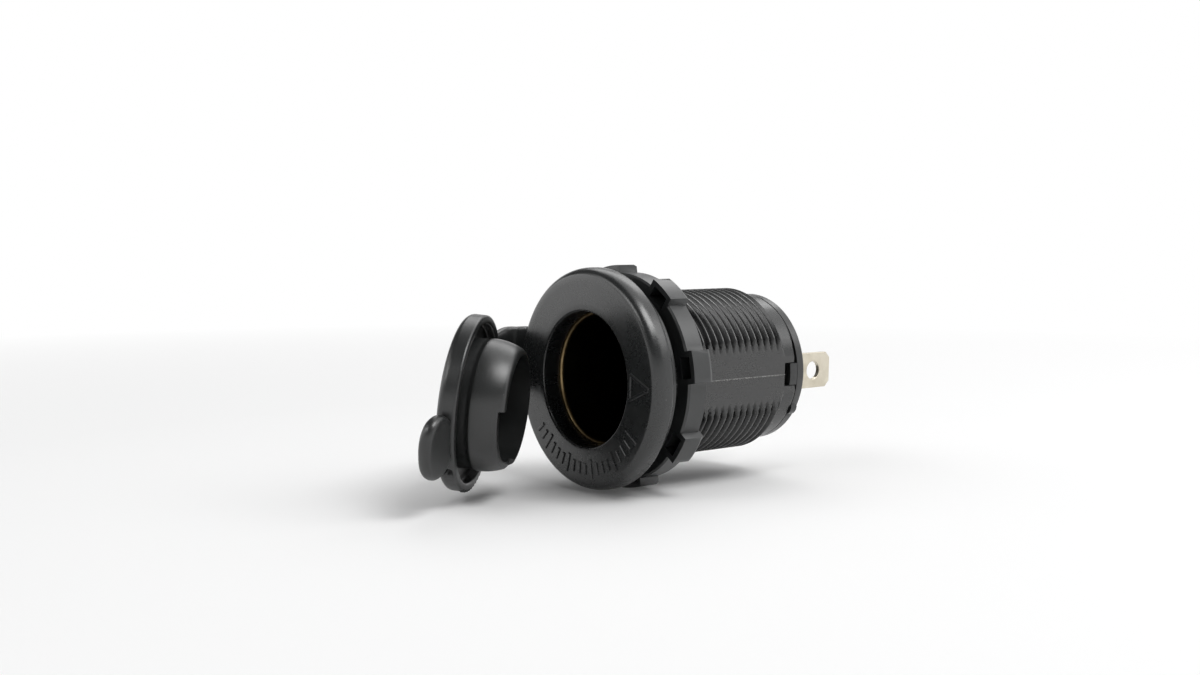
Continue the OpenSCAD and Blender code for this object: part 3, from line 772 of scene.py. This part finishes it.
# The outline is a little squarer at the free end than at the root
outline = superellipse(half_long, half_wide, (2.3, 2.2), 96) + [half_long, 0]
inner = np.array([half_long, 0.0])
t = np.radians(np.linspace(-90, 90, 13))
edge_r = tab_t / 2 * 0.92
spread = np.concatenate([[0.3, 0.75], 1 - 0.16 * (1 - np.cos(t)), [0.75, 0.3]])
level = np.concatenate([[-edge_r, -edge_r], edge_r * np.sin(t), [edge_r, edge_r]])
level[[0, -1]] *= 0.94
flat_xy = inner + (outline[None] - inner) * spread[:, None, None]
tab = np.stack([flat_xy[..., 0], level[:, None].repeat(len(outline), 1), flat_xy[..., 1]], -1)
lift = Matrix.Rotation(math.radians(strap_turn + tab_down), 4, "Y")
lift = lift @ Matrix.Translation((lid_r - tab_root, lid_under_y - 0.2 - tab_t / 2, 0))
lift = lift @ Matrix.Rotation(math.radians(-tab_bend), 4, "Z")
middles = np.array([[half_long, -edge_r * 0.94, 0], [half_long, edge_r * 0.94, 0]])
tab, middles = (opened(moved(p, lift)) for p in (tab, middles))
pull_tab = grid_piece("cap_pull_tab", tab, poles=tuple(middles), smooth=50)
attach(pull_tab, "cap")
dress(pull_tab, rubber)

# Strap
# The thin arm of the same rubber moulding, from the ring behind the flange round its edge to
# the lid. It bends where the cap hinges.
strap_w, strap_t, strap_rise, strap_bend, root_y = 10.4, 1.6, 1.4, 1.9, -0.8
closed_web = np.array([[-hinge_off + past, hinge_y, strap_rise * share]
                       for past, share in ((3.0, 0.7), (5.0, 0.35), (7.6, 0))])
web = opened(closed_web)
tilt = np.array(Matrix.Rotation(math.radians(strap_turn), 3, "Y"))
riser = np.vstack([
    [[-15.8, root_y, 0], [-17.5, root_y, 0], [-19.0, root_y, 0]],
    [[-hinge_off + strap_bend * (1 - math.sin(a)), root_y - strap_bend * (1 - math.cos(a)), 0]
     for a in np.radians([15, 40, 65, 90])],
    [[-hinge_off, -4.2, 0], [-hinge_off, -6.2, 0]]])
riser[:, 2] = strap_rise
riser = riser @ tilt.T
knots = np.vstack([riser, web])


def smooth_path(knots, count):
    """A Catmull-Rom curve through the knots, each span a cubic whose slopes come from its neighbours."""
    ends = np.vstack([2 * knots[:1] - knots[1:2], knots, 2 * knots[-1:] - knots[-2:-1]])
    place = np.linspace(0, len(knots) - 1 - 1e-9, count)
    i = place.astype(int)
    t = (place - i)[:, None]
    p0, p1, p2, p3 = (ends[i + k] for k in range(4))
    square = (2 * p0 - 5 * p1 + 4 * p2 - p3) * t ** 2
    cube = (3 * p1 - p0 - 3 * p2 + p3) * t ** 3
    return 0.5 * (2 * p1 + (p2 - p0) * t + square + cube)


line = smooth_path(knots, 72)
run = np.gradient(line, axis=0)
run /= np.linalg.norm(run, axis=1, keepdims=True)
up_ring = tilt @ [0, 0, 1]
up_hinge = tilt @ np.array(Matrix.Rotation(math.radians(hinge_lean), 3, "X")) @ [0, 0, 1]
up_lid = opened(np.array([[0, 0, 1.0]]))[0] - opened(np.zeros((1, 3)))[0]
share = np.linspace(0, 1, len(line))[:, None]
hinge_share = 0.68
first = np.clip(share / hinge_share, 0, 1)
second = np.clip((share - hinge_share) / (1 - hinge_share), 0, 1)
up = up_ring * (1 - first) + up_hinge * (first - second) + up_lid * second
up -= run * np.einsum("ij,ij->i", up, run)[:, None]
up /= np.linalg.norm(up, axis=1, keepdims=True)
out = np.cross(run, up)
# The section is a rounded bar: a superellipse of the strap's width and thickness
wide, thick = superellipse(strap_w / 2, strap_t / 2, (5, 5), 40).T
points = line[:, None] + up[:, None] * wide[None, :, None] + out[:, None] * thick[None, :, None]
strap = grid_piece("cap_strap", points, poles=(line[0], line[-1]), smooth=50)
tuple(web[1] * mm)
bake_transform(strap)
dress(strap, rubber)
